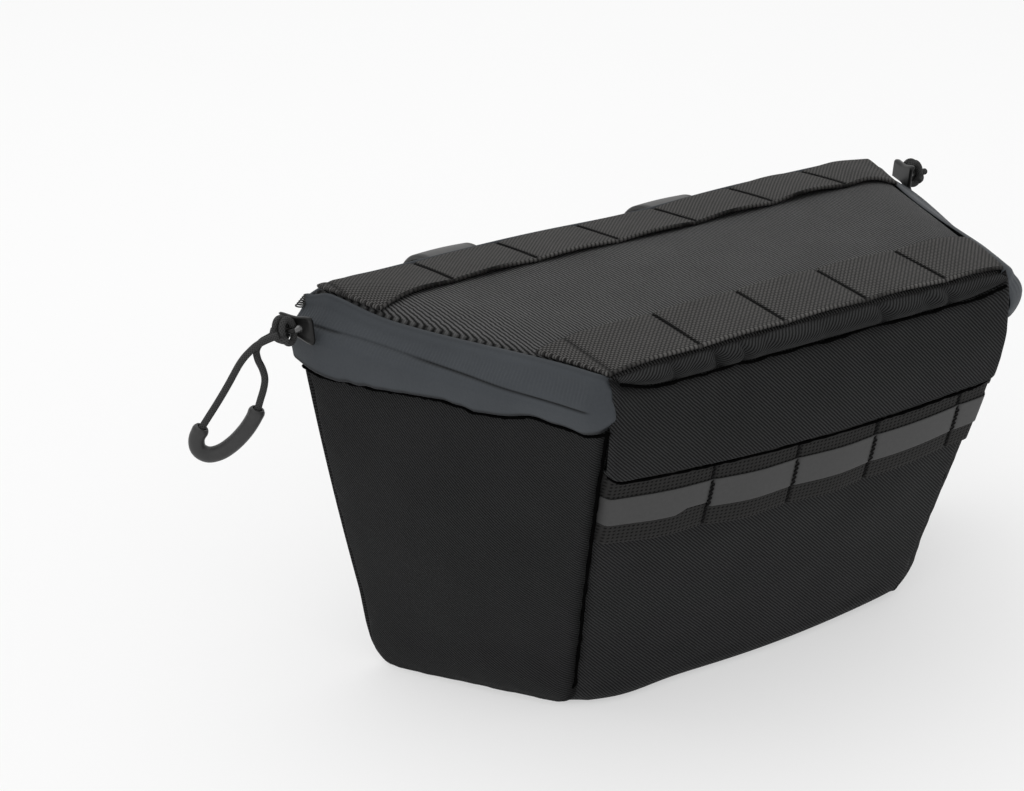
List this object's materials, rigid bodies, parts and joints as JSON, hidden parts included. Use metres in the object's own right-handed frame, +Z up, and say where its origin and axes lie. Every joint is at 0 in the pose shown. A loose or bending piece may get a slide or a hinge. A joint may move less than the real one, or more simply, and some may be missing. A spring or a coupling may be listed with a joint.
{
  "type": "bicycle handlebar bag",
  "caption": "Small padded cloth handlebar bag with a zipped hinged lid, webbing strips, a reflective band, cord pulls and hook-and-loop handlebar straps.",
  "frame": {"origin": "on the surface the bag stands on, under the middle of its box without the pull cords", "axes": "+Z up, +X along the bag towards its right end as seen from the front, +Y towards the handlebar behind it; the front panel faces -Y"},
  "size_m": [0.2826, 0.1524, 0.1304],
  "materials": {
    "panel_cloth": "coarse twill, matt black",
    "lid_cloth": "ribbed twill, matt black",
    "webbing": "woven polyester webbing, charcoal",
    "zip_tape": "coated water-resistant zip tape, slate grey",
    "reflective": "smooth reflective tape, grey",
    "ribbon": "narrow woven ribbon, black",
    "slider_metal": "black enamel, worn bright at edges",
    "strap": "smooth coated hook-and-loop strap, dark grey",
    "cord": "braided cord, black",
    "grip": "moulded, satin dark grey"
  },
  "bodies": {
    "root": {"wrap_panel": "panel_cloth", "left_end_panel": "panel_cloth", "right_end_panel": "panel_cloth", "lid": "lid_cloth", "lid_front_roll": "panel_cloth", "zip_tape": "zip_tape", "side_tab": "ribbon", "lid_webbing_front": "webbing", "lid_webbing_back": "webbing", "front_webbing": "webbing", "reflective_band": "reflective", "zip_slider_left": "slider_metal", "zip_slider_right": "slider_metal", "handlebar_strap_left": "strap", "handlebar_strap_right": "strap", "pull_cord_left": "cord", "pull_cord_right": "cord", "pull_grip_left": "grip", "pull_grip_right": "grip"}
  },
  "joints": []
}
